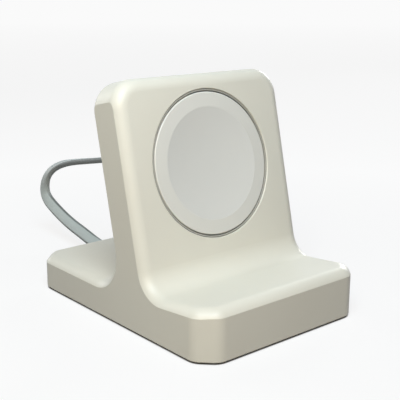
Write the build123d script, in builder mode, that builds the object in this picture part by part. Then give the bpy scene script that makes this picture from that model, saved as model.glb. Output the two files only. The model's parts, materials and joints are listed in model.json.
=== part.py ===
import os
from math import cos, pi, radians, sin, sqrt, tan

from build123d import *

os.makedirs("parts", exist_ok=True)

# Outer form of the stand: a base slab with a panel that leans back from it, in mm.
# The rounding of the edges runs past the upright faces by the overrun, so it ends there in a crisp line.
# A corner in plan is a cut across it whose two ends are rounded.
stand_width = 84.0
base_depth = 115.0
deck_height = 14.7
lip_height = 20.9
tray_slope = 5.5
panel_setback = 33.8
panel_lean = 13.0
panel_thickness = 18.5
panel_length = 84.2
plan_corner_cut = 7.1
plan_corner_radius = 6.5
panel_corner_radius = 11.4
edge_radius = 5.2
edge_overrun = 0.55
bottom_edge_radius = 0.5
tray_fillet = 9.8
deck_fillet = 12.6

# Moulded walls
wall = 3.0

# Bottom cover and what it stands on
foot_lift = 0.6
plate_thickness = 2.0
plate_ledge = 1.4
plate_gap = 0.2
foot_radius = 6.0
foot_sink = 1.0
foot_edge = 0.2
foot_gap = 0.15
foot_inset_x = 13.5
foot_inset_y = 13.5

# Screws that close the bottom
base_screw_inset_x = 8.6
base_screw_front = 33.0
base_screw_rear = 36.0
base_screw_radius = 1.25
base_screw_head = 2.4
base_screw_length = 7.5
boss_radius = 3.3
thread_gap = 0.1

# Ballast weight, held clear of the screw bosses beside it
ballast_side_gap = 2.1
ballast_depth = 26.0
ballast_thickness = 4.0
ballast_front = 28.0
ballast_corner = 3.0
ballast_edge = 0.5
ballast_screw_inset = 8.0
ballast_post_radius = 2.7
ballast_post_gap = 0.4
ballast_screw_radius = 1.1
ballast_screw_head = 4.2
ballast_screw_head_height = 1.6
ballast_screw_length = 4.6

# Power board, from a reach past the cable gland on the left to a gap from the wall on the right
board_reach_left = 12.0
board_side_gap = 5.5
board_depth = 26.0
board_thickness = 1.6
board_corner = 1.5
board_lift = 1.0
board_to_wall = 1.6
notch_right = 8.0
board_notch_depth = 7.0
board_screw_inset = 3.2
board_post_radius = 2.4
board_screw_radius = 1.0
board_screw_head = 1.9
board_screw_head_height = 1.2
board_screw_length = 3.4
board_hole_gap = 0.25
chip_size = 7.0
chip_height = 1.0
chip_edge = 0.25
inductor_size = 8.0
inductor_height = 3.2
inductor_corner = 1.6
inductor_round = 0.4
capacitor_radius = 2.6
capacitor_height = 5.4
capacitor_round = 0.45
chip_offset = (-2.0, -5.0)
inductor_offset = (8.0, -6.0)
capacitor_side_gap = 1.15
capacitor_offset_y = 6.5

# Power inlet, sized as a small reversible socket
inlet_side_gap = 1.95
inlet_width = 8.9
inlet_height = 3.2
inlet_length = 7.4
inlet_wall = 0.3
inlet_recess = 0.6
inlet_gap = 0.25
tongue_width = 6.7
tongue_thickness = 0.7
tongue_length = 4.6
tongue_corner = 0.18

# Round recess in the panel and the charging puck in it
puck_rise = 47.7
recess_radius = 29.9
recess_depth = 8.6
recess_chamfer = 0.25
recess_wall = 2.2
recess_floor = 2.4
puck_gap = 0.2
bezel_width = 0.6
bezel_height = 3.0
bezel_sink = 0.3
bezel_round = 0.2
face_gap = 0.4
face_sink = 0.3
face_round = 0.5
dish_radius = 22.8
dish_depth = 2.1
spigot_width = 1.5
spigot_height = 1.2
spigot_gap = 0.2
housing_wall = 1.9
housing_floor = 1.7
puck_board_radius = 18.5
puck_board_thickness = 1.0
ferrite_radius = 18.0
ferrite_thickness = 0.9
coil_outer_radius = 17.5
coil_inner_radius = 9.5
coil_thickness = 1.6
coil_turns = 6
coil_groove_width = 0.33
coil_groove_depth = 0.53
magnet_radius = 8.0
puck_screw_circle = 24.0
puck_screw_radius = 1.1
puck_screw_head = 2.2
puck_screw_head_height = 1.2
puck_screw_length = 6.4
puck_boss_radius = 2.8
puck_boss_depth = 3.0
lead_hole_radius = 1.4

# Flat link cable and the two glands that hold it
cable_width = 5.6
cable_thickness = 1.9
cable_rise = 7.0
cable_height = 5.6
cable_first_run = 19.0
cable_last_run = 9.0
gland_flange_width = 10.8
gland_flange_height = 6.4
gland_flange_thickness = 1.2
gland_neck_width = 8.4
gland_neck_height = 4.6
gland_gap = 0.2
gland_collar_width = 10.0
gland_collar_height = 5.4
gland_collar_thickness = 1.4
gland_boot_length = 5.0
gland_boot_width = 7.2
gland_boot_height = 3.6
gland_tip_wall = 1.0
gland_tail_width = 6.2
gland_tail_height = 3.8
header_width = 9.0
header_depth = 5.0
header_height = 4.4
header_edge = 0.35

# Shares used by the small forms
slot_length_share = 1.1
slot_width_share = 0.25
slot_depth_share = 0.5
head_round_share = 0.4
screw_tip_share = 0.3
arc_share = 0.45

# Derived places
front = -base_depth / 2
rear = base_depth / 2
half_width = stand_width / 2
lean = radians(panel_lean)
slope = radians(tray_slope)
plate_top = foot_lift + plate_thickness
ballast_width = stand_width - 2 * (base_screw_inset_x + boss_radius + ballast_side_gap)
ballast_screw_pitch = ballast_width - 2 * ballast_screw_inset
board_left = -board_reach_left
board_right = half_width - wall - board_side_gap
board_width = board_right - board_left
board_centre_x = (board_left + board_right) / 2
inlet_x = board_right - board_screw_inset - board_screw_head - inlet_side_gap - inlet_width / 2
deck_ceiling = deck_height - wall


def panel_point(rise, inward):
    y = front + panel_setback + rise * sin(lean) + inward * cos(lean)
    z = deck_height + rise * cos(lean) - inward * sin(lean)
    return y, z


def tray_height(y):
    return lip_height - (y - front) * tan(slope)


def panel_plane(rise, inward, outward=True):
    y, z = panel_point(rise, inward)
    way = 1 if outward else -1
    return Plane(origin=(0, y, z), x_dir=(1, 0, 0), z_dir=(0, -way * cos(lean), way * sin(lean)))


def save(part, name):
    part.label = name
    export_step(part, f"parts/{name}.step")


# Plan outline of the base, inset all round
def plan_outline(inset):
    cut = plan_corner_cut - inset * (2 - sqrt(2))
    with BuildSketch(Plane.XY) as outline:
        Rectangle(stand_width - 2 * inset, base_depth - 2 * inset)
        chamfer(outline.vertices(), cut)
        fillet(outline.vertices(), plan_corner_radius - inset)
    return outline.sketch


# Side profile of the outer form, or of the core that hollows it when it is inset by the wall
def side_profile(inset, overrun=0):
    low_end = front + inset - overrun
    high_end = rear - inset + overrun
    back = panel_thickness - inset
    tray_drop = (panel_setback + inset * cos(lean)) * tan(slope) + inset / cos(slope) - inset * sin(lean)
    tray_rise = (lip_height - deck_height - tray_drop) / (cos(lean) + sin(lean) * tan(slope))
    deck_rise = (back * sin(lean) - inset) / cos(lean)
    tray_corner = panel_point(tray_rise, inset)
    deck_corner = panel_point(deck_rise, back)
    with BuildSketch(Plane.YZ) as profile:
        with BuildLine():
            Polyline(
                (low_end, foot_lift),
                (low_end, tray_height(low_end) - inset / cos(slope)),
                tray_corner,
                panel_point(panel_length - inset, inset),
                panel_point(panel_length - inset, back),
                deck_corner,
                (high_end, deck_height - inset),
                (high_end, foot_lift),
                close=True,
            )
        make_face()
        fillet(profile.vertices().sort_by_distance(tray_corner)[0], tray_fillet + inset)
        fillet(profile.vertices().sort_by_distance(deck_corner)[0], deck_fillet + inset)
    return profile.sketch


def across_panel(edges):
    # edges that run through the thickness of the panel, at its two top corners
    return edges.filter_by(Axis((0, 0, 0), (0, cos(lean), -sin(lean))))


def upper_rim(part):
    # every sharp outer edge above the bottom, without the seams of the round corners
    edges = part.edges()
    along_x = edges.filter_by(Axis.X)
    ends = along_x.sort_by(Axis.Z)[-2:]
    bottom = edges.group_by(Axis.Z)[0]
    lips = [e for e in along_x if e not in bottom]
    ends += [min(lips, key=lambda e: e.center().Y), max(lips, key=lambda e: e.center().Y)]
    seams = [e for e in along_x if e not in ends]
    upright = edges.filter_by(Axis.Z) + across_panel(edges)
    return ShapeList([e for e in edges if e not in bottom + upright + seams])


# Core that leaves the moulding hollow
with BuildPart() as moulding_core:
    extrude(side_profile(wall), amount=half_width - wall, both=True)
    extrude(plan_outline(wall), amount=2 * panel_length, mode=Mode.INTERSECT)
    fillet(across_panel(moulding_core.edges()), panel_corner_radius - wall)

# One-piece moulding: base, tray and leaning panel
recess_plane = panel_plane(puck_rise, 0)
recess_plane_axis = Axis(recess_plane.origin, recess_plane.z_dir)
screw_places = [
    (side * (half_width - base_screw_inset_x), y)
    for side in (-1, 1)
    for y in (front + base_screw_front, rear - base_screw_rear)
]
puck_screw_angles = (90, 210, 330)
cable_exit_rise = puck_rise + cable_rise

with BuildPart() as stand_body:
    extrude(side_profile(0, edge_overrun), amount=half_width + edge_overrun, both=True)
    extrude(plan_outline(-edge_overrun), amount=2 * panel_length, mode=Mode.INTERSECT)
    fillet(across_panel(stand_body.edges()), panel_corner_radius)
    fillet(upper_rim(stand_body), edge_radius)
    extrude(plan_outline(0), amount=2 * panel_length, mode=Mode.INTERSECT)
    fillet(stand_body.faces().sort_by(Axis.Z)[0].outer_wire().edges(), bottom_edge_radius)

    add(moulding_core.part, mode=Mode.SUBTRACT)
    extrude(plan_outline(wall), amount=foot_lift + wall, mode=Mode.SUBTRACT)
    extrude(plan_outline(wall - plate_ledge), amount=plate_top, mode=Mode.SUBTRACT)

    # cup behind the recess, with three screw bosses on its floor
    with BuildSketch(panel_plane(puck_rise, wall / 2)):
        Circle(recess_radius + recess_wall)
    extrude(amount=wall / 2 - recess_depth - recess_floor)
    with BuildSketch(panel_plane(puck_rise, recess_depth)):
        with PolarLocations(puck_screw_circle, len(puck_screw_angles), start_angle=puck_screw_angles[0]):
            Circle(puck_boss_radius)
    extrude(amount=-recess_floor - puck_boss_depth)

    # bosses for the bottom screws
    for x, y in screw_places:
        ceiling = deck_ceiling if y > 0 else tray_height(y) - wall
        with BuildSketch(Plane.XY.offset(plate_top)):
            with Locations((x, y)):
                Circle(boss_radius)
        extrude(amount=ceiling + wall / 2 - plate_top)

    # recess, cable way, screw holes and inlet opening
    with BuildSketch(recess_plane):
        Circle(recess_radius)
    extrude(amount=-recess_depth, mode=Mode.SUBTRACT)
    with BuildSketch(recess_plane):
        Circle(recess_radius)
    extrude(amount=edge_radius, mode=Mode.SUBTRACT)
    with BuildSketch(panel_plane(puck_rise, recess_depth)):
        with PolarLocations(puck_screw_circle, len(puck_screw_angles), start_angle=puck_screw_angles[0]):
            Circle(puck_screw_radius + thread_gap)
    extrude(amount=-recess_floor - puck_boss_depth, mode=Mode.SUBTRACT)
    with BuildSketch(panel_plane(cable_exit_rise, recess_depth)):
        SlotOverall(gland_tail_width + 2 * gland_gap, gland_tail_height + 2 * gland_gap)
    extrude(amount=-recess_floor, mode=Mode.SUBTRACT)
    with BuildSketch(panel_plane(cable_exit_rise, panel_thickness - wall)):
        SlotOverall(gland_neck_width + 2 * gland_gap, gland_neck_height + 2 * gland_gap)
    extrude(amount=-wall, mode=Mode.SUBTRACT)
    with BuildSketch(Plane.XZ.offset(-rear)):
        with Locations((0, cable_height)):
            SlotOverall(gland_neck_width + 2 * gland_gap, gland_neck_height + 2 * gland_gap)
        with Locations((inlet_x, plate_top + board_lift + board_thickness + inlet_height / 2)):
            SlotOverall(inlet_width + 2 * inlet_gap, inlet_height + 2 * inlet_gap)
    extrude(amount=wall, mode=Mode.SUBTRACT)
    for x, y in screw_places:
        with BuildSketch(Plane.XY.offset(plate_top)):
            with Locations((x, y)):
                Circle(base_screw_radius + thread_gap)
        extrude(amount=base_screw_length, mode=Mode.SUBTRACT)

    # mouth of the recess
    mouth = stand_body.edges().filter_by(GeomType.CIRCLE).sort_by_distance(recess_plane.origin)
    chamfer(mouth.filter_by(lambda e: abs(e.radius - recess_radius) < 0.01)[0], recess_chamfer)

save(stand_body.part, "stand_body")

# Bottom cover, let into a ledge round the opening
foot_places = [
    (side * (half_width - foot_inset_x), y)
    for y in (front + foot_inset_y, rear - foot_inset_y)
    for side in (-1, 1)
]
foot_names = ("foot_front_left", "foot_front_right", "foot_rear_left", "foot_rear_right")
cover_inset = wall - plate_ledge + plate_gap
ballast_centre_y = front + ballast_front
ballast_posts = [(side * ballast_screw_pitch / 2, ballast_centre_y) for side in (-1, 1)]
ballast_top = plate_top + ballast_thickness
board_centre_y = rear - wall - board_to_wall - board_depth / 2
board_bottom = plate_top + board_lift
board_top = board_bottom + board_thickness
board_back = board_centre_y + board_depth / 2
board_front = board_centre_y - board_depth / 2
notch_front = board_back - board_notch_depth
board_holes = [
    (board_left + board_screw_inset, board_front + board_screw_inset),
    (board_right - board_screw_inset, board_front + board_screw_inset),
    (board_left + board_screw_inset, notch_front - board_screw_inset),
    (board_right - board_screw_inset, board_back - board_screw_inset),
]

with BuildPart() as base_plate:
    with BuildSketch(Plane.XY.offset(foot_lift)):
        add(plan_outline(cover_inset))
    extrude(amount=plate_thickness)
    with BuildSketch(Plane.XY.offset(plate_top)):
        with Locations(ballast_posts):
            Circle(ballast_post_radius)
    extrude(amount=ballast_thickness - thread_gap)
    with BuildSketch(Plane.XY.offset(plate_top)):
        with Locations(board_holes):
            Circle(board_post_radius)
    extrude(amount=board_lift)
    with BuildSketch(Plane.XY.offset(foot_lift)):
        with Locations(foot_places):
            Circle(foot_radius + foot_gap)
    extrude(amount=foot_sink, mode=Mode.SUBTRACT)
    with Locations(Plane.XY.offset(foot_lift)):
        with Locations([Location((x, y, 0), (180, 0, 0)) for x, y in screw_places]):
            CounterSinkHole(
                base_screw_radius + thread_gap,
                base_screw_head + thread_gap,
                depth=plate_thickness,
            )
    with BuildSketch(Plane.XY.offset(ballast_top)):
        with Locations(ballast_posts):
            Circle(ballast_screw_radius + thread_gap)
    extrude(amount=-ballast_screw_length, mode=Mode.SUBTRACT)
    with BuildSketch(Plane.XY.offset(board_top)):
        with Locations(board_holes):
            Circle(board_screw_radius + thread_gap)
    extrude(amount=-board_screw_length, mode=Mode.SUBTRACT)

save(base_plate.part, "base_plate")

# Rubber feet
for name, (x, y) in zip(foot_names, foot_places):
    with BuildPart() as foot:
        with BuildSketch():
            with Locations((x, y)):
                Circle(foot_radius)
        extrude(amount=foot_lift + foot_sink)
        chamfer(foot.edges().sort_by(Axis.Z)[0], foot_edge)
    save(foot.part, name)


# Screws, drawn with the head up and the seat of the head at the origin
def pan_screw(radius, head_radius, head_height, length):
    with BuildPart() as screw:
        Cylinder(head_radius, head_height, align=(Align.CENTER, Align.CENTER, Align.MIN))
        fillet(screw.edges().sort_by(Axis.Z)[-1], head_height * head_round_share)
        with BuildSketch(Plane.XY.offset(head_height)):
            Rectangle(head_radius * slot_length_share, head_radius * slot_width_share)
            Rectangle(head_radius * slot_width_share, head_radius * slot_length_share)
        extrude(amount=-head_height * slot_depth_share, mode=Mode.SUBTRACT)
        Cylinder(radius, length, align=(Align.CENTER, Align.CENTER, Align.MAX))
        chamfer(screw.edges().sort_by(Axis.Z)[0], radius * screw_tip_share)
    return screw.part


def countersunk_screw(radius, head_radius, length):
    with BuildPart() as screw:
        Cone(radius, head_radius, head_radius - radius, align=(Align.CENTER, Align.CENTER, Align.MAX))
        with BuildSketch():
            Rectangle(head_radius * slot_length_share, head_radius * slot_width_share)
            Rectangle(head_radius * slot_width_share, head_radius * slot_length_share)
        extrude(amount=-(head_radius - radius) * slot_depth_share, mode=Mode.SUBTRACT)
        with BuildSketch(Plane.XY.offset(radius - head_radius)):
            Circle(radius)
        extrude(amount=head_radius - radius - length)
        chamfer(screw.edges().sort_by(Axis.Z)[0], radius * screw_tip_share)
    return screw.part


def screw_set(screw, places, name):
    save(Compound(children=[place * screw for place in places]), name)


screw_set(
    countersunk_screw(base_screw_radius, base_screw_head, base_screw_length),
    [Location((x, y, foot_lift), (180, 0, 0)) for x, y in screw_places],
    "base_screws",
)

# Steel ballast, held down on two posts of the cover
with BuildPart() as ballast_plate:
    with BuildSketch(Plane.XY.offset(plate_top)):
        with Locations((0, ballast_centre_y)):
            RectangleRounded(ballast_width, ballast_depth, ballast_corner)
        with Locations(ballast_posts):
            Circle(ballast_post_radius + ballast_post_gap, mode=Mode.SUBTRACT)
    extrude(amount=ballast_thickness)
    chamfer(ballast_plate.faces().sort_by(Axis.Z)[-1].outer_wire().edges(), ballast_edge)

save(ballast_plate.part, "ballast_plate")
screw_set(
    pan_screw(ballast_screw_radius, ballast_screw_head, ballast_screw_head_height, ballast_screw_length),
    [Location((x, y, ballast_top)) for x, y in ballast_posts],
    "ballast_screws",
)

# Power board with what is soldered to it
with BuildPart() as power_board:
    with BuildSketch(Plane.XY.offset(board_bottom)):
        with Locations((board_centre_x, board_centre_y)):
            RectangleRounded(board_width, board_depth, board_corner)
        with Locations((board_left, board_back)):
            Rectangle(2 * (notch_right - board_left), 2 * board_notch_depth, mode=Mode.SUBTRACT)
        with Locations(board_holes):
            Circle(board_screw_radius + board_hole_gap, mode=Mode.SUBTRACT)
    extrude(amount=board_thickness)

save(power_board.part, "power_board")
screw_set(
    pan_screw(board_screw_radius, board_screw_head, board_screw_head_height, board_screw_length),
    [Location((x, y, board_top)) for x, y in board_holes],
    "board_screws",
)

with BuildPart() as controller_chip:
    with BuildSketch(Plane.XY.offset(board_top)):
        with Locations((board_centre_x + chip_offset[0], board_centre_y + chip_offset[1])):
            Rectangle(chip_size, chip_size)
    extrude(amount=chip_height)
    chamfer(controller_chip.faces().sort_by(Axis.Z)[-1].edges(), chip_edge)

save(controller_chip.part, "controller_chip")

with BuildPart() as power_inductor:
    with BuildSketch(Plane.XY.offset(board_top)):
        with Locations((board_centre_x + inductor_offset[0], board_centre_y + inductor_offset[1])):
            RectangleRounded(inductor_size, inductor_size, inductor_corner)
    extrude(amount=inductor_height)
    fillet(power_inductor.faces().sort_by(Axis.Z)[-1].edges(), inductor_round)

save(power_inductor.part, "power_inductor")

with BuildPart() as filter_capacitor:
    capacitor_x = notch_right + capacitor_side_gap + capacitor_radius
    with BuildSketch(Plane.XY.offset(board_top)):
        with Locations((capacitor_x, board_centre_y + capacitor_offset_y)):
            Circle(capacitor_radius)
    extrude(amount=capacitor_height)
    fillet(filter_capacitor.edges().sort_by(Axis.Z)[-1], capacitor_round)

save(filter_capacitor.part, "filter_capacitor")

# Power inlet: a folded shell round an insulator with a tongue
inlet_plane = Plane.XZ.offset(-(rear - inlet_recess))
inlet_centre_z = board_top + inlet_height / 2
inlet_back = inlet_length - tongue_length - inlet_recess

with BuildPart() as inlet_shell:
    with BuildSketch(inlet_plane):
        with Locations((inlet_x, inlet_centre_z)):
            SlotOverall(inlet_width, inlet_height)
            SlotOverall(inlet_width - 2 * inlet_wall, inlet_height - 2 * inlet_wall, mode=Mode.SUBTRACT)
    extrude(amount=inlet_length)

save(inlet_shell.part, "inlet_shell")

with BuildPart() as inlet_tongue:
    with BuildSketch(inlet_plane.offset(inlet_length)):
        with Locations((inlet_x, inlet_centre_z)):
            SlotOverall(inlet_width - 2 * inlet_wall, inlet_height - 2 * inlet_wall)
    extrude(amount=-inlet_back)
    with BuildSketch(inlet_plane.offset(inlet_length - inlet_back)):
        with Locations((inlet_x, inlet_centre_z)):
            RectangleRounded(tongue_width, tongue_thickness, tongue_corner)
    extrude(amount=-tongue_length)

save(inlet_tongue.part, "inlet_tongue")

# Charging puck, drawn in the plane of the recess and set in place by it
def puck_ring(outer, inner, top, bottom):
    with BuildPart() as ring:
        with BuildSketch(recess_plane.offset(-bottom)):
            Circle(outer)
            if inner > 0:
                Circle(inner, mode=Mode.SUBTRACT)
        extrude(amount=bottom - top)
    return ring.part


outer_radius = recess_radius - puck_gap
bezel_inner = outer_radius - bezel_width
face_radius = bezel_inner - face_gap
rim_depth = bezel_sink + bezel_height
cavity_radius = outer_radius - housing_wall
floor_depth = recess_depth - housing_floor
ferrite_top = floor_depth - puck_board_thickness - ferrite_thickness

with BuildPart() as puck_housing:
    add(puck_ring(outer_radius, 0, rim_depth, recess_depth))
    add(puck_ring(cavity_radius, 0, rim_depth, floor_depth), mode=Mode.SUBTRACT)
    with BuildSketch(recess_plane.offset(-floor_depth)):
        with PolarLocations(puck_screw_circle, len(puck_screw_angles), start_angle=puck_screw_angles[0]):
            Circle(puck_screw_radius + puck_gap)
        with Locations((0, cable_rise)):
            Circle(lead_hole_radius)
    extrude(amount=-housing_floor, mode=Mode.SUBTRACT)

save(puck_housing.part, "puck_housing")
puck_screw_turns = [radians(angle) for angle in puck_screw_angles]
puck_screw_spots = [
    (puck_screw_circle * cos(turn), puck_screw_circle * sin(turn))
    for turn in puck_screw_turns
]
screw_set(
    pan_screw(puck_screw_radius, puck_screw_head, puck_screw_head_height, puck_screw_length),
    [recess_plane.location * Location((x, y, -floor_depth)) for x, y in puck_screw_spots],
    "puck_screws",
)
save(puck_ring(puck_board_radius, 0, floor_depth - puck_board_thickness, floor_depth), "puck_board")
save(puck_ring(ferrite_radius, 0, ferrite_top, ferrite_top + ferrite_thickness), "ferrite_shield")
save(puck_ring(magnet_radius, 0, ferrite_top - coil_thickness, ferrite_top), "alignment_magnet")

# flat coil with its turns showing as grooves
turn_pitch = (coil_outer_radius - coil_inner_radius) / coil_turns
with BuildPart() as charging_coil:
    add(puck_ring(coil_outer_radius, coil_inner_radius, ferrite_top - coil_thickness, ferrite_top))
    for turn in range(1, coil_turns):
        groove = coil_inner_radius + turn * turn_pitch
        top = ferrite_top - coil_thickness
        bottom = top + coil_groove_depth
        add(
            puck_ring(groove + coil_groove_width / 2, groove - coil_groove_width / 2, top, bottom),
            mode=Mode.SUBTRACT,
        )

save(charging_coil.part, "charging_coil")

with BuildPart() as puck_bezel:
    add(puck_ring(outer_radius, bezel_inner, bezel_sink, rim_depth))
    fillet(puck_bezel.faces().sort_by(recess_plane_axis)[-1].edges(), bezel_round)

save(puck_bezel.part, "puck_bezel")

# face of the puck: a flat ring round a shallow dish that takes the back of a watch
dish_sphere = (dish_radius**2 + dish_depth**2) / (2 * dish_depth)
with BuildPart() as puck_face:
    add(puck_ring(face_radius, 0, face_sink, rim_depth))
    fillet(puck_face.faces().sort_by(recess_plane_axis)[-1].edges(), face_round)
    add(
        puck_ring(
            cavity_radius - spigot_gap,
            cavity_radius - spigot_gap - spigot_width,
            rim_depth,
            rim_depth + spigot_height,
        )
    )
    with Locations(recess_plane.offset(dish_sphere - dish_depth - face_sink)):
        Sphere(dish_sphere, mode=Mode.SUBTRACT)

save(puck_face.part, "puck_face")


# Moulded gland: flange and boot outside the wall, neck through it, collar and tail behind it
def gland(plane, tail_length):
    with BuildPart() as body:
        with BuildSketch(plane):
            SlotOverall(gland_flange_width, gland_flange_height)
        extrude(amount=gland_flange_thickness)
        fillet(body.edges().group_by(Axis(plane.origin, plane.z_dir))[-1], gland_flange_thickness / 2)
        with BuildSketch(plane.offset(gland_flange_thickness)):
            SlotOverall(gland_boot_width, gland_boot_height)
        with BuildSketch(plane.offset(gland_flange_thickness + gland_boot_length)):
            SlotOverall(cable_width + gland_tip_wall, cable_thickness + gland_tip_wall)
        loft()
        with BuildSketch(plane):
            SlotOverall(gland_neck_width, gland_neck_height)
        extrude(amount=-wall)
        with BuildSketch(plane.offset(-wall)):
            SlotOverall(gland_collar_width, gland_collar_height)
        extrude(amount=-gland_collar_thickness)
        with BuildSketch(plane.offset(-wall - gland_collar_thickness)):
            SlotOverall(gland_tail_width, gland_tail_height)
        extrude(amount=-tail_length)
    return body.part


panel_exit = panel_plane(cable_exit_rise, panel_thickness, outward=False)
base_entry = Plane(origin=(0, rear, cable_height), x_dir=(1, 0, 0), z_dir=(0, 1, 0))
gland_reach = gland_flange_thickness + gland_boot_length

save(
    gland(panel_exit, panel_thickness - wall - gland_collar_thickness - recess_depth),
    "panel_gland",
)
save(gland(base_entry, rear - wall - gland_collar_thickness - notch_front), "base_gland")

with BuildPart() as cable_header:
    with BuildSketch(Plane.XY.offset(board_top)):
        with Locations((0, notch_front - header_depth / 2)):
            Rectangle(header_width, header_depth)
    extrude(amount=header_height)
    chamfer(cable_header.faces().sort_by(Axis.Z)[-1].edges(), header_edge)

save(cable_header.part, "cable_header")

# Link cable: straight runs joined by the largest arcs they allow, from gland to gland
cable_start = panel_exit.offset(gland_reach).origin
cable_end = base_entry.offset(gland_reach).origin
cable_points = [
    cable_start,
    panel_exit.offset(gland_reach + cable_first_run).origin,
    Vector(0, 53.8, 52.2),
    Vector(0, 74.0, 48.2),
    Vector(0, 92.8, 44.8),
    Vector(0, 108.0, 40.3),
    Vector(0, 118.9, 34.2),
    Vector(0, 123.8, 26.9),
    Vector(0, 121.0, 20.0),
    Vector(0, 111.6, 16.4),
    Vector(0, 97.9, 12.2),
    Vector(0, 84.3, 8.2),
    base_entry.offset(gland_reach + cable_last_run).origin,
    cable_end,
]


def corner_radii(points):
    radii = []
    for before, point, after in zip(points, points[1:], points[2:]):
        shorter = min((point - before).length, (after - point).length)
        turn = radians((point - before).get_angle(after - point))
        radii.append(arc_share * shorter / tan(turn / 2))
    return radii


cable_radii = corner_radii(cable_points)
print("cable arc radii, mm:", [round(radius, 1) for radius in cable_radii])

with BuildPart() as link_cable:
    with BuildLine() as route:
        FilletPolyline(*cable_points, radius=cable_radii)
    with BuildSketch(Plane(origin=cable_start, x_dir=(1, 0, 0), z_dir=route.wire() % 0)):
        SlotOverall(cable_width, cable_thickness)
    sweep(path=route.wire())

section_area = (cable_width - cable_thickness) * cable_thickness + pi * cable_thickness**2 / 4
print("cable length, mm:", round(route.wire().length, 1))
print("cable volume over section times length:", link_cable.part.volume / section_area / route.wire().length)
save(link_cable.part, "link_cable")
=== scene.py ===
import json
from math import cos, radians, sin

import bmesh
import bpy
from mathutils import Matrix, Vector


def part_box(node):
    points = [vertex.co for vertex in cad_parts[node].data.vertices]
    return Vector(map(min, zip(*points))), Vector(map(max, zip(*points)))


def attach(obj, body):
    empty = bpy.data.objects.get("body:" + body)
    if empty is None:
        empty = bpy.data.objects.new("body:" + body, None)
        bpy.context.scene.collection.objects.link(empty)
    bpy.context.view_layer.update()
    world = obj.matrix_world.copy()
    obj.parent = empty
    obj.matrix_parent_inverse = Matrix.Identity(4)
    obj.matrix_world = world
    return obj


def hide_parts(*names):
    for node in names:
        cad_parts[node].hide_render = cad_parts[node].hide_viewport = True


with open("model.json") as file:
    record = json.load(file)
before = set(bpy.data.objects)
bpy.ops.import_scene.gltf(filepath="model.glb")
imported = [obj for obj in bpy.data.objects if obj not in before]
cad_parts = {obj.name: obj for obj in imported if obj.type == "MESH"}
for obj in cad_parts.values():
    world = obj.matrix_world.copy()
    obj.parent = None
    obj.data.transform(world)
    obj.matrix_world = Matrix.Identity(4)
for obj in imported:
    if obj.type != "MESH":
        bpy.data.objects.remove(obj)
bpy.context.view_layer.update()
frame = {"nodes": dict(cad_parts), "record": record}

print("frame loaded:", len(frame["nodes"]), "nodes")

# worked out from the edges of the stand: metres and degrees in the frame of the part
photoCamera = {
    "place": (-0.21714, -0.2599, 0.13154),
    "azimuth": -40.41,
    "pitch": 14.62,
    "roll": 0.25,
    "lens": 75.484,
    "sensor": 36.0,
}


def setCamera():
    azimuth, pitch, roll = (radians(photoCamera[k]) for k in ("azimuth", "pitch", "roll"))
    ahead = Vector((-sin(azimuth) * cos(pitch), cos(azimuth) * cos(pitch), -sin(pitch)))
    right = Vector((cos(azimuth), sin(azimuth), 0))
    up = right.cross(ahead)
    right, up = right * cos(roll) + up * sin(roll), up * cos(roll) - right * sin(roll)
    data = bpy.data.cameras.new("photoCamera")
    data.lens = photoCamera["lens"]
    data.sensor_width = photoCamera["sensor"]
    data.clip_start = 0.01
    camera = bpy.data.objects.new("photoCamera", data)
    bpy.context.scene.collection.objects.link(camera)
    turn = Matrix((right, up, -ahead)).transposed().to_4x4()
    camera.matrix_world = Matrix.Translation(photoCamera["place"]) @ turn
    bpy.context.scene.camera = camera


setCamera()
print("camera set")


def addObject(name, mesh):
    piece = bpy.data.objects.new(name, mesh)
    bpy.context.scene.collection.objects.link(piece)
    return piece


def meshFrom(shape, name, smooth=True):
    mesh = bpy.data.meshes.new(name)
    shape.to_mesh(mesh)
    shape.free()
    for face in mesh.polygons:
        face.use_smooth = smooth
    return mesh


class Nodes:
    # a few words for wiring a node tree
    def __init__(self, tree):
        self.tree = tree

    def add(self, kind, **settings):
        node = self.tree.nodes.new(kind)
        values = settings.pop("values", {})
        for key, value in settings.items():
            setattr(node, key, value)
        for key, value in values.items():
            node.inputs[key].default_value = value
        return node

    def link(self, source, target):
        self.tree.links.new(source, target)

    def noise(self, vector, scale, detail=2.0, roughness=0.5):
        node = self.add(
            "ShaderNodeTexNoise",
            values={"Scale": scale, "Detail": detail, "Roughness": roughness},
        )
        self.link(vector, node.inputs["Vector"])
        return node.outputs["Fac"]

    def stretch(self, vector, scale):
        node = self.add("ShaderNodeMapping", values={"Scale": scale})
        self.link(vector, node.inputs["Vector"])
        return node.outputs["Vector"]

    def math(self, operation, first, second=None, third=None):
        node = self.add("ShaderNodeMath", operation=operation)
        for socket, value in zip(node.inputs, (first, second, third)):
            if value is None:
                continue
            if isinstance(value, (int, float)):
                socket.default_value = value
            else:
                self.link(value, socket)
        return node.outputs[0]

    def span(self, value, low, high, fromLow=0.0, fromHigh=1.0):
        node = self.add("ShaderNodeMapRange")
        self.link(value, node.inputs["Value"])
        for name, target in (
            ("From Min", fromLow),
            ("From Max", fromHigh),
            ("To Min", low),
            ("To Max", high),
        ):
            if isinstance(target, (int, float)):
                node.inputs[name].default_value = target
            else:
                self.link(target, node.inputs[name])
        return node.outputs["Result"]

    def tint(self, factor, first, second):
        node = self.add("ShaderNodeMix", data_type="RGBA")
        for name, value in ((0, factor), (6, first), (7, second)):
            if isinstance(value, (int, float)):
                node.inputs[name].default_value = value
            elif isinstance(value, tuple):
                node.inputs[name].default_value = (*value[:3], 1.0)
            else:
                self.link(value, node.inputs[name])
        return node.outputs[2]


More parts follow.
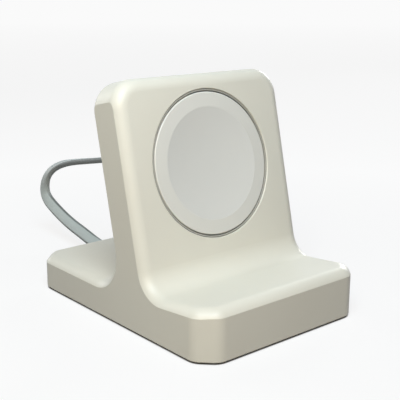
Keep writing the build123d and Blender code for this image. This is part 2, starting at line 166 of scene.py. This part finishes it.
def newGroup(name, inputs, outputs):
    group = bpy.data.node_groups.new(name, "ShaderNodeTree")
    for label, kind, default in inputs:
        socket = group.interface.new_socket(label, in_out="INPUT", socket_type=kind)
        if default is not None:
            socket.default_value = default
    for label, kind in outputs:
        group.interface.new_socket(label, in_out="OUTPUT", socket_type=kind)
    nodes = Nodes(group)
    return nodes, nodes.add("NodeGroupInput").outputs, nodes.add("NodeGroupOutput").inputs


floatSocket, colorSocket, vectorSocket = "NodeSocketFloat", "NodeSocketColor", "NodeSocketVector"


# Moulded plastic: faint colour drift, a spark-eroded grain and a few handling rubs
def buildMouldedSkin():
    n, given, result = newGroup(
        "mouldedSkin",
        [
            ("Vector", vectorSocket, None),
            ("Color", colorSocket, (0.8, 0.8, 0.8, 1)),
            ("Drift Color", colorSocket, (0.75, 0.75, 0.75, 1)),
            ("Roughness", floatSocket, 0.45),
            ("Rub", floatSocket, 0.08),
            ("Grain Scale", floatSocket, 5200.0),
        ],
        [("Color", colorSocket), ("Roughness", floatSocket), ("Height", floatSocket)],
    )
    drift = n.noise(given["Vector"], 26.0, 3.0)
    n.link(n.tint(n.span(drift, 0.0, 1.0, 0.35, 0.65), given["Color"], given["Drift Color"]), result["Color"])
    rubs = n.noise(n.stretch(given["Vector"], (60, 60, 420)), 6.0, 4.0, 0.65)
    swing = n.math("MULTIPLY", n.span(rubs, -1.0, 1.0), given["Rub"])
    n.link(n.math("ADD", given["Roughness"], swing), result["Roughness"])
    grain = n.add("ShaderNodeTexNoise", values={"Detail": 3.0, "Roughness": 0.6})
    n.link(given["Vector"], grain.inputs["Vector"])
    n.link(given["Grain Scale"], grain.inputs["Scale"])
    n.link(grain.outputs["Fac"], result["Height"])
    return n.tree


# Rolled or brushed metal: streaks along one direction
def buildBrushedMetal():
    n, given, result = newGroup(
        "brushedMetal",
        [
            ("Vector", vectorSocket, None),
            ("Color", colorSocket, (0.6, 0.6, 0.6, 1)),
            ("Stain Color", colorSocket, (0.5, 0.5, 0.5, 1)),
            ("Roughness", floatSocket, 0.35),
        ],
        [("Color", colorSocket), ("Roughness", floatSocket), ("Height", floatSocket)],
    )
    streaks = n.noise(n.stretch(given["Vector"], (1, 24, 24)), 160.0, 4.0, 0.6)
    stain = n.noise(given["Vector"], 90.0, 3.0)
    n.link(n.tint(n.span(stain, 0.0, 1.0, 0.45, 0.75), given["Color"], given["Stain Color"]), result["Color"])
    n.link(n.math("ADD", given["Roughness"], n.span(streaks, -0.12, 0.12)), result["Roughness"])
    n.link(streaks, result["Height"])
    return n.tree


groups = {"moulded": buildMouldedSkin(), "brushed": buildBrushedMetal()}


def startMaterial(name, **shader):
    material = bpy.data.materials.new(name)
    material.use_nodes = True
    n = Nodes(material.node_tree)
    principled = material.node_tree.nodes["Principled BSDF"]
    for key, value in shader.items():
        principled.inputs[key.replace("_", " ")].default_value = value
    return material, n, principled


def objectPlace(n):
    return n.add("ShaderNodeTexCoord").outputs["Object"]


def bump(n, height, principled, distance, strength=1.0):
    node = n.add("ShaderNodeBump", values={"Strength": strength, "Distance": distance})
    n.link(height, node.inputs["Height"])
    n.link(node.outputs["Normal"], principled.inputs["Normal"])


def useGroup(n, group, place, **values):
    node = n.add("ShaderNodeGroup", node_tree=group)
    n.link(place, node.inputs["Vector"])
    for key, value in values.items():
        node.inputs[key.replace("_", " ")].default_value = value
    return node.outputs


def mouldedMaterial(name, finish):
    material, n, principled = startMaterial(name, **finish.get("shader", {}))
    skin = useGroup(
        n,
        groups["moulded"],
        objectPlace(n),
        Color=(*finish["color"], 1),
        Drift_Color=(*finish["drift"], 1),
        Roughness=finish["roughness"],
        Rub=finish["rub"],
        Grain_Scale=finish["grain"],
    )
    n.link(skin["Color"], principled.inputs["Base Color"])
    n.link(skin["Roughness"], principled.inputs["Roughness"])
    bump(n, skin["Height"], principled, finish["depth"])
    return material


# the plane of the puck: x and y across its face, z out of it
seatAxis = Vector(next(m for m in frame["record"]["mounts"] if m["name"] == "watch_seat")["axis"])


def boxCentre(node):
    low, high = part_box(node)
    return (Vector(low) + Vector(high)) / 2


def puckPlace(n):
    turn = seatAxis.rotation_difference(Vector((0, 0, 1)))
    place = n.add(
        "ShaderNodeMapping",
        values={"Rotation": turn.to_euler(), "Location": -(turn @ boxCentre("puck_bezel"))},
    )
    n.link(objectPlace(n), place.inputs["Vector"])
    return place.outputs["Vector"]


def puckRadius(n):
    parts = n.add("ShaderNodeSeparateXYZ")
    n.link(puckPlace(n), parts.inputs["Vector"])
    across = n.math("POWER", parts.outputs["X"], 2)
    along = n.math("POWER", parts.outputs["Y"], 2)
    return n.math("SQRT", n.math("ADD", across, along))


def metalMaterial(name, finish):
    material, n, principled = startMaterial(name, Metallic=1.0)
    skin = useGroup(
        n,
        groups["brushed"],
        objectPlace(n),
        Color=(*finish["color"], 1),
        Stain_Color=(*finish["stain"], 1),
        Roughness=finish["roughness"],
    )
    n.link(skin["Color"], principled.inputs["Base Color"])
    n.link(skin["Roughness"], principled.inputs["Roughness"])
    bump(n, skin["Height"], principled, finish["depth"])
    return material


linkCable = {
    "width": 0.0061,
    "thickness": 0.0028,
    "length": 0.183,
    "steps": 14,
    "sides": 28,
    "route": [
        (0, 0.01267, 0.06234),
        (0, 0.03119, 0.05807),
        (0, 0.0538, 0.0521),
        (0, 0.0739, 0.0478),
        (0, 0.0927, 0.0441),
        (0, 0.1078, 0.0399),
        (0, 0.1182, 0.0336),
        (0, 0.1224, 0.0263),
        (0, 0.1210, 0.0203),
        (0, 0.1117, 0.0158),
        (0, 0.0982, 0.0112),
        (0, 0.0843, 0.0084),
        (0, 0.0727, 0.0056),
        (0, 0.0637, 0.0056),
    ],
    # share of the length, and how far the flat of the cable is turned there, in degrees
    "twist": [
        (0.0, 0),
        (0.36, 3),
        (0.46, -4),
        (0.57, -46),
        (0.62, -79),
        (0.66, -110),
        (0.7, -122),
        (0.8, -124),
        (0.92, -130),
        (1.0, -180),
    ],
    "twistBlend": 0.03,
    "faceColors": ((0.525, 0.58, 0.56), (0.60, 0.65, 0.635)),
    # the dark colours of the edges are painted shade
    "paintedShadeEdgeColors": ((0.125, 0.138, 0.133), (0.165, 0.18, 0.175)),
    "paintedShadeEdgeReach": (0.14, 0.212),
    # the stretch of the bend, in centimetres from the exit, where the painted edge shade is lifted: painted light
    # where the edges catch the lamps
    "paintedLightRise": (9.2, 11.0),
    "paintedLightFall": (11.8, 12.8),
    "paintedLightShare": 0.75,
}


def cableLine():
    curve = bpy.data.curves.new("cableRoute", "CURVE")
    curve.dimensions = "3D"
    curve.resolution_u = linkCable["steps"]
    spline = curve.splines.new("NURBS")
    spline.points.add(len(linkCable["route"]) - 1)
    for point, place in zip(spline.points, linkCable["route"]):
        point.co = (*place, 1)
    spline.order_u = 3
    spline.use_endpoint_u = True
    bare = bpy.data.objects.new("cableRoute", curve)
    mesh = bpy.data.meshes.new_from_object(bare)
    line = [v.co.copy() for v in mesh.vertices]
    bpy.data.meshes.remove(mesh)
    bpy.data.objects.remove(bare)
    bpy.data.curves.remove(curve)
    return line


def twistAt(share):
    # straight between the values of the list, and blended over a short stretch round each of them
    def straight(place):
        place = min(max(place, 0.0), 1.0)
        for (start, low), (end, high) in zip(linkCable["twist"], linkCable["twist"][1:]):
            if place <= end:
                return low + (high - low) * (place - start) / (end - start)

    blend = linkCable["twistBlend"] * min(1.0, 8 * min(share, 1 - share))
    return radians(sum(straight(share + blend * step) for step in (-1, -0.5, 0, 0.5, 1)) / 5)


def buildCable():
    line = cableLine()
    runs = [(b - a).length for a, b in zip(line, line[1:])]
    total = sum(runs)
    half = linkCable["thickness"] / 2
    widen = linkCable["width"] / 2 - half
    shape = bmesh.new()
    mapping = shape.loops.layers.uv.new("alongCable")
    bmesh.ops.create_circle(shape, segments=linkCable["sides"], radius=half)
    ring = list(shape.verts)
    outline = [Vector((v.co.x + widen * (1 if v.co.x > 1e-7 else -1 if v.co.x < -1e-7 else 0), v.co.y, 0)) for v in ring]
    rings, along = [ring], [0.0]
    edges = list(shape.edges)
    for run in runs:
        made = bmesh.ops.extrude_edge_only(shape, edges=edges)["geom"]
        edges = [g for g in made if isinstance(g, bmesh.types.BMEdge) and all(v in made for v in g.verts)]
        rings.append([g for g in made if isinstance(g, bmesh.types.BMVert)])
        along.append(along[-1] + run)
    for i, (verts, place) in enumerate(zip(rings, line)):
        ahead = (line[min(i + 1, len(line) - 1)] - line[max(i - 1, 0)]).normalized()
        turn = twistAt(along[i] / total)
        side = Vector((1, 0, 0))
        over = ahead.cross(side)
        side, over = side * cos(turn) + over * sin(turn), over * cos(turn) - side * sin(turn)
        for vert, spot in zip(verts, outline):
            vert.co = place + side * spot.x + over * spot.y
    for ends in (rings[0], rings[-1]):
        bmesh.ops.contextual_create(shape, geom=ends)
    index = {v: (along[i], k / len(outline)) for i, verts in enumerate(rings) for k, v in enumerate(verts)}
    for face in shape.faces:
        around = [index[loop.vert][1] for loop in face.loops]
        wraps = max(around) - min(around) > 0.5 and len(face.verts) == 4
        for loop in face.loops:
            s, k = index[loop.vert]
            loop[mapping].uv = (s / 0.01, k + 1 if wraps and k < 0.5 else k)
    bmesh.ops.recalc_face_normals(shape, faces=shape.faces)
    print("cable line, mm:", round(total * 1000, 1))
    return addObject("linkCable", meshFrom(shape, "linkCable")), line


def cableMaterial():
    # pale flat sides, narrow edges darkened as painted shade, and a fine grain along the jacket
    material, n, principled = startMaterial("cableJacket", Roughness=0.5)
    place = n.add("ShaderNodeTexCoord").outputs["UV"]
    parts = n.add("ShaderNodeSeparateXYZ")
    n.link(place, parts.inputs["Vector"])
    # the sides lie at 0 and a half of the way round, the edges at a quarter and three quarters
    turns = n.math("FRACT", n.math("MULTIPLY", parts.outputs["Y"], 2.0))
    fromEdge = n.math("MULTIPLY", n.math("ABSOLUTE", n.math("SUBTRACT", turns, 0.5)), 0.5)
    # painted shade: the narrow edges are darkened
    edge = n.span(fromEdge, 1.0, 0.0, *linkCable["paintedShadeEdgeReach"])
    # along the bend the painted edge shade is lifted, as painted light on the lit edges
    rise = n.span(parts.outputs["X"], 0.0, linkCable["paintedLightShare"], *linkCable["paintedLightRise"])
    fall = n.span(parts.outputs["X"], 1.0, 0.0, *linkCable["paintedLightFall"])
    edge = n.math("MULTIPLY", edge, n.math("SUBTRACT", 1.0, n.math("MULTIPLY", rise, fall)))
    weave = n.noise(n.stretch(place, (60, 8, 1)), 1.0, 2.0)
    grain = n.span(weave, 0.0, 1.0, 0.3, 0.7)
    side = n.tint(grain, *linkCable["faceColors"])
    n.link(n.tint(edge, side, n.tint(grain, *linkCable["paintedShadeEdgeColors"])), principled.inputs["Base Color"])
    n.link(n.span(weave, 0.42, 0.6), principled.inputs["Roughness"])
    bump(n, weave, principled, 0.00008)
    return material


cable, cablePath = buildCable()
cable.data.materials.append(cableMaterial())
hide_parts("link_cable")
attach(cable, "root")
print("cable laid")

finishes = {
    "shell": {
        "color": (0.73, 0.72, 0.635),
        "drift": (0.715, 0.70, 0.615),
        "roughness": 0.42,
        "rub": 0.05,
        "grain": 5200.0,
        "depth": 0.00001,
    },
    # the rim's grey is darkened beyond its own colour: painted shade of the gaps round the puck
    "puckRimPaintedShade": {
        "color": (0.40, 0.395, 0.355),
        "drift": (0.38, 0.375, 0.335),
        "roughness": 0.38,
        "rub": 0.05,
        "grain": 4200.0,
        "depth": 0.00001,
    },
    "cover": {
        "color": (0.44, 0.435, 0.40),
        "drift": (0.41, 0.405, 0.37),
        "roughness": 0.6,
        "rub": 0.08,
        "grain": 1800.0,
        "depth": 0.00004,
    },
    "rubber": {
        "color": (0.045, 0.045, 0.047),
        "drift": (0.06, 0.06, 0.062),
        "roughness": 0.75,
        "rub": 0.1,
        "grain": 2400.0,
        "depth": 0.00004,
    },
    "glandRubber": {
        "color": (0.26, 0.29, 0.28),
        "drift": (0.235, 0.262, 0.255),
        "roughness": 0.6,
        "rub": 0.08,
        "grain": 3000.0,
        "depth": 0.00003,
    },
    "chipEpoxy": {
        "color": (0.022, 0.022, 0.024),
        "drift": (0.034, 0.034, 0.036),
        "roughness": 0.55,
        "rub": 0.1,
        "grain": 9000.0,
        "depth": 0.00001,
    },
    "coilCore": {
        "color": (0.075, 0.072, 0.07),
        "drift": (0.105, 0.1, 0.096),
        "roughness": 0.7,
        "rub": 0.12,
        "grain": 4200.0,
        "depth": 0.00003,
    },
    "headerNylon": {
        "color": (0.74, 0.72, 0.66),
        "drift": (0.7, 0.68, 0.61),
        "roughness": 0.5,
        "rub": 0.06,
        "grain": 6000.0,
        "depth": 0.00001,
    },
}

metals = {
    "ballastSteel": {
        "color": (0.50, 0.50, 0.49),
        "stain": (0.40, 0.395, 0.38),
        "roughness": 0.42,
        "depth": 0.00001,
    },
    "screwSteel": {
        "color": (0.36, 0.36, 0.37),
        "stain": (0.28, 0.28, 0.285),
        "roughness": 0.36,
        "depth": 0.000008,
    },
    "inletSteel": {
        "color": (0.66, 0.66, 0.65),
        "stain": (0.56, 0.55, 0.53),
        "roughness": 0.3,
        "depth": 0.000006,
    },
    "magnetNickel": {
        "color": (0.68, 0.66, 0.62),
        "stain": (0.60, 0.58, 0.54),
        "roughness": 0.26,
        "depth": 0.000005,
    },
}

materials = {name: mouldedMaterial(name, finish) for name, finish in finishes.items()}
materials.update({name: metalMaterial(name, finish) for name, finish in metals.items()})


def finish(material, *nodes):
    for node in nodes:
        for slot in frame["nodes"][node].material_slots:
            slot.material = material


finish(materials["shell"], "stand_body")
# the darkened rim is painted shade for the gaps round the puck
finish(materials["puckRimPaintedShade"], "puck_bezel", "puck_housing")
finish(materials["cover"], "base_plate")
finish(materials["rubber"], "foot_front_left", "foot_front_right", "foot_rear_left", "foot_rear_right")
finish(materials["glandRubber"], "panel_gland", "base_gland")
finish(materials["chipEpoxy"], "controller_chip")
finish(materials["coilCore"], "power_inductor", "ferrite_shield")
finish(materials["headerNylon"], "cable_header")
finish(materials["ballastSteel"], "ballast_plate")
finish(materials["screwSteel"], "base_screws", "ballast_screws", "board_screws", "puck_screws")
finish(materials["inletSteel"], "inlet_shell")
finish(materials["magnetNickel"], "alignment_magnet")

puckDish = {
    "radius": 0.0228,
    "edge": 0.0004,
    "ringRoughness": 0.34,
    "dishRoughness": 0.26,
    "ringColor": (0.715, 0.715, 0.67),
    "dishColor": (0.69, 0.695, 0.665),
    "drift": 0.97,
    "turnedScale": 2600.0,
    "turnedDepth": 0.04,
    "pole": (0.003, 0.006),
}


def puckFaceMaterial():
    # a satin ring round a smoother dish, both with a trace of the turned mould
    material, n, principled = startMaterial("puckFace")
    radius = puckRadius(n)
    reach = puckDish["radius"] + puckDish["edge"]
    ring = n.span(radius, 0.0, 1.0, puckDish["radius"] - puckDish["edge"], reach)
    base = n.tint(ring, puckDish["dishColor"], puckDish["ringColor"])
    cloud = n.noise(objectPlace(n), 40.0, 3.0)
    shade = n.add("ShaderNodeMix", data_type="RGBA", blend_type="MULTIPLY", values={0: 1.0})
    n.link(base, shade.inputs[6])
    n.link(n.tint(cloud, (puckDish["drift"],) * 3, (1.0, 1.0, 1.0)), shade.inputs[7])
    n.link(shade.outputs[2], principled.inputs["Base Color"])
    turned = n.math("SINE", n.math("MULTIPLY", radius, puckDish["turnedScale"]))
    fine = n.noise(objectPlace(n), 4200.0, 3.0)
    roughness = n.span(ring, puckDish["dishRoughness"], puckDish["ringRoughness"])
    n.link(n.math("ADD", roughness, n.span(fine, -0.03, 0.03)), principled.inputs["Roughness"])
    bump(n, n.math("ADD", fine, n.math("MULTIPLY", turned, puckDish["turnedDepth"])), principled, 0.000006)
    # the middle of the dish takes the direction of the puck's axis, so that its pole doesn't glint
    blend = n.add("ShaderNodeMix", data_type="VECTOR", values={4: seatAxis})
    n.link(n.span(radius, 0.0, 1.0, *puckDish["pole"]), blend.inputs[0])
    n.link(n.add("ShaderNodeNewGeometry").outputs["Normal"], blend.inputs[5])
    n.link(blend.outputs[1], principled.inputs["Normal"].links[0].from_node.inputs["Normal"])
    return material


board = {
    "mask": (0.012, 0.10, 0.035),
    "trace": (0.03, 0.19, 0.07),
    "pad": (0.62, 0.60, 0.54),
    "traceScale": 330.0,
    "traceWidth": 0.12,
    "padScale": 420.0,
    "padReach": 0.16,
}


def boardMaterial(place=objectPlace):
    # green solder mask over copper lines, with tinned pads between them
    material, n, principled = startMaterial("boardMask", Coat_Weight=0.3)
    spot = place(n)
    lines = n.add(
        "ShaderNodeTexBrick",
        offset=0.37,
        squash=1.7,
        values={
            "Color1": (0, 0, 0, 1),
            "Color2": (0, 0, 0, 1),
            "Mortar": (1, 1, 1, 1),
            "Scale": board["traceScale"],
            "Mortar Size": board["traceWidth"],
            "Mortar Smooth": 0.2,
        },
    )
    n.link(spot, lines.inputs["Vector"])
    cells = n.add("ShaderNodeTexVoronoi", distance="CHEBYCHEV", values={"Scale": board["padScale"]})
    n.link(spot, cells.inputs["Vector"])
    pads = n.math("LESS_THAN", cells.outputs["Distance"], board["padReach"])
    cloud = n.noise(spot, 120.0, 2.0)
    trace = n.math("MULTIPLY", lines.outputs["Fac"], n.span(cloud, 0.6, 1.0))
    n.link(n.tint(pads, n.tint(trace, board["mask"], board["trace"]), board["pad"]), principled.inputs["Base Color"])
    n.link(pads, principled.inputs["Metallic"])
    n.link(n.span(cloud, 0.3, 0.42), principled.inputs["Roughness"])
    bump(n, n.math("MAXIMUM", trace, pads), principled, 0.00003)
    return material


coilWire = {
    "copper": (0.60, 0.25, 0.09),
    "shadow": (0.30, 0.11, 0.04),
    "turns": 17000.0,
}


def coilMaterial():
    # fine enamelled wire: thin turns round the axis of the puck
    material, n, principled = startMaterial("coilWire", Metallic=1.0, Coat_Weight=0.4, Coat_Roughness=0.2)
    turns = n.math("SINE", n.math("MULTIPLY", puckRadius(n), coilWire["turns"]))
    cloud = n.noise(objectPlace(n), 150.0, 3.0)
    wire = n.span(turns, 0.0, 1.0, -1.0, 1.0)
    n.link(n.tint(n.math("MULTIPLY", wire, n.span(cloud, 0.7, 1.0)), coilWire["shadow"], coilWire["copper"]), principled.inputs["Base Color"])
    n.link(n.span(cloud, 0.25, 0.4), principled.inputs["Roughness"])
    bump(n, wire, principled, 0.00003)
    return material


can = {
    "top": 0.0004,
    "mark": 0.0010,
    "metal": (0.70, 0.70, 0.69),
    "print": (0.03, 0.03, 0.035),
}


def canMaterial():
    # drawn aluminium can, with the dark segment that marks one pole on its top
    material, n, principled = startMaterial("canAluminium")
    low, high = (Vector(corner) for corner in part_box("filter_capacitor"))
    parts = n.add("ShaderNodeSeparateXYZ")
    n.link(objectPlace(n), parts.inputs["Vector"])
    side = n.math("LESS_THAN", parts.outputs["X"], (low.x + high.x) / 2 - can["mark"])
    top = n.math("GREATER_THAN", parts.outputs["Z"], high.z - can["top"])
    mark = n.math("MULTIPLY", side, top)
    skin = useGroup(
        n,
        groups["brushed"],
        objectPlace(n),
        Color=(*can["metal"], 1),
        Stain_Color=(*(0.85 * c for c in can["metal"]), 1),
        Roughness=0.34,
    )
    n.link(n.tint(mark, skin["Color"], can["print"]), principled.inputs["Base Color"])
    n.link(n.math("SUBTRACT", 1.0, mark), principled.inputs["Metallic"])
    n.link(skin["Roughness"], principled.inputs["Roughness"])
    bump(n, skin["Height"], principled, 0.000008)
    return material


tongue = {
    "pitch": 0.0005,
    "share": 0.55,
    "reach": 0.003,
    "half": 0.0004,
    "gold": (0.85, 0.60, 0.24),
    "black": (0.018, 0.018, 0.02),
}


def tongueMaterial():
    # black insulator with gold contacts side by side on the tongue
    material, n, principled = startMaterial("inletTongue")
    centre = boxCentre("inlet_tongue")
    parts = n.add("ShaderNodeSeparateXYZ")
    n.link(objectPlace(n), parts.inputs["Vector"])
    across = n.math("SUBTRACT", parts.outputs["X"], centre.x)
    stripe = n.math("LESS_THAN", n.math("FRACT", n.math("DIVIDE", across, tongue["pitch"])), tongue["share"])
    inside = n.math("LESS_THAN", n.math("ABSOLUTE", across), tongue["reach"])
    height = n.math("ABSOLUTE", n.math("SUBTRACT", parts.outputs["Z"], centre.z))
    onTongue = n.math("LESS_THAN", height, tongue["half"])
    gold = n.math("MULTIPLY", n.math("MULTIPLY", stripe, inside), onTongue)
    fine = n.noise(objectPlace(n), 5000.0, 3.0)
    n.link(n.tint(gold, tongue["black"], tongue["gold"]), principled.inputs["Base Color"])
    n.link(gold, principled.inputs["Metallic"])
    n.link(n.span(fine, 0.32, 0.5), principled.inputs["Roughness"])
    bump(n, n.math("ADD", fine, gold), principled, 0.00001)
    return material


finish(puckFaceMaterial(), "puck_face")
finish(boardMaterial(), "power_board")
finish(boardMaterial(puckPlace), "puck_board")
finish(coilMaterial(), "charging_coil")
finish(canMaterial(), "filter_capacitor")
finish(tongueMaterial(), "inlet_tongue")
print("finishes set")

studio = {
    "floorSize": 20.0,
    "floorColor": (0.2, 0.2, 0.2),
    "glowCentre": (0.1, 0.12, 0.0),
    "nearGlow": (0.75, 0.88),
    "nearReach": (0.09, 0.42),
    "farGlow": (0.0, 0.07),
    "farReach": (0.5, 2.6),
    "contactReach": 0.006,
    # the range of the painted contact shadow under the stand
    "paintedContactShade": (0.27, 0.56),
    "worldColor": (1.0, 1.0, 1.0),
    "worldStrength": 0.03,
}

# small softboxes close over the front left, and two low far ones that keep the back from going dark
lamps = {
    "highSoftbox": {"place": (-0.143, -0.1705, 0.396), "size": 0.22, "power": 1.37, "color": (0.68, 0.85, 1.0)},
    "frontSoftbox": {"place": (-0.221, -0.264, 0.281), "size": 0.22, "power": 0.82, "color": (1.0, 0.78, 0.56)},
    "leftSoftbox": {"place": (-0.312, -0.145, 0.281), "size": 0.22, "power": 0.25, "color": (1.0, 0.98, 0.80)},
    "rightFarSoftbox": {"place": (1.099, 0.513, 0.342), "size": 0.4, "power": 0.34, "color": (1.0, 1.0, 1.0), "spread": 50},
    "rearFarSoftbox": {"place": (-0.211, 1.195, 0.342), "size": 0.4, "power": 0.2, "color": (1.0, 1.0, 1.0), "spread": 50},
}


def seenDirectly(n):
    # camera, mirror and glass rays see the plain backdrop
    path = n.add("ShaderNodeLightPath").outputs
    return n.math("MAXIMUM", n.math("MAXIMUM", path["Is Camera Ray"], path["Is Glossy Ray"]), path["Is Transmission Ray"])


def setFloor():
    shape = bmesh.new()
    bmesh.ops.create_grid(shape, x_segments=1, y_segments=1, size=studio["floorSize"] / 2)
    floor = addObject("studioFloor", meshFrom(shape, "studioFloor"))
    material = bpy.data.materials.new("studioFloor")
    material.use_nodes = True
    n = Nodes(material.node_tree)
    material.node_tree.nodes.clear()
    matt = n.add("ShaderNodeBsdfDiffuse", values={"Color": (*studio["floorColor"], 1)})
    glow = n.add("ShaderNodeEmission")
    # the glow that keeps the floor white fades out in the gap under the stand, a painted contact shadow
    corner = n.add("ShaderNodeAmbientOcclusion", values={"Distance": studio["contactReach"]})
    clear = n.span(corner.outputs["AO"], 0.0, 1.0, *studio["paintedContactShade"])
    # and it grows with the distance, as the light of the softboxes gets weaker
    offset = n.add("ShaderNodeMapping", values={"Location": studio["glowCentre"]})
    n.link(objectPlace(n), offset.inputs["Vector"])
    distance = n.add("ShaderNodeVectorMath", operation="LENGTH")
    n.link(offset.outputs["Vector"], distance.inputs[0])
    near = n.span(distance.outputs["Value"], *studio["nearGlow"], *studio["nearReach"])
    far = n.span(distance.outputs["Value"], *studio["farGlow"], *studio["farReach"])
    even = n.math("ADD", near, far)
    n.link(n.math("MULTIPLY", n.math("MULTIPLY", seenDirectly(n), clear), even), glow.inputs["Strength"])
    both = n.add("ShaderNodeAddShader")
    n.link(matt.outputs[0], both.inputs[0])
    n.link(glow.outputs[0], both.inputs[1])
    n.link(both.outputs[0], n.add("ShaderNodeOutputMaterial").inputs["Surface"])
    floor.data.materials.append(material)


def setWorld():
    world = bpy.data.worlds.new("studio")
    bpy.context.scene.world = world
    world.use_nodes = True
    n = Nodes(world.node_tree)
    background = world.node_tree.nodes["Background"]
    background.inputs["Color"].default_value = (*studio["worldColor"], 1)
    n.link(n.span(seenDirectly(n), studio["worldStrength"], 1.0), background.inputs["Strength"])


def setLamps():
    target = Vector((0, 0, 0.04))
    for name, lamp in lamps.items():
        data = bpy.data.lights.new(name, "AREA")
        data.shape = "SQUARE"
        data.size = lamp["size"]
        data.energy = lamp["power"]
        data.color = lamp["color"]
        data.spread = radians(lamp.get("spread", 180))
        light = bpy.data.objects.new(name, data)
        light.visible_camera = False
        bpy.context.scene.collection.objects.link(light)
        place = Vector(lamp["place"])
        light.matrix_world = Matrix.Translation(place) @ (target - place).to_track_quat("-Z", "Y").to_matrix().to_4x4()


setFloor()
setWorld()
setLamps()
bpy.context.scene.view_settings.view_transform = "Standard"
print("floor and light set")
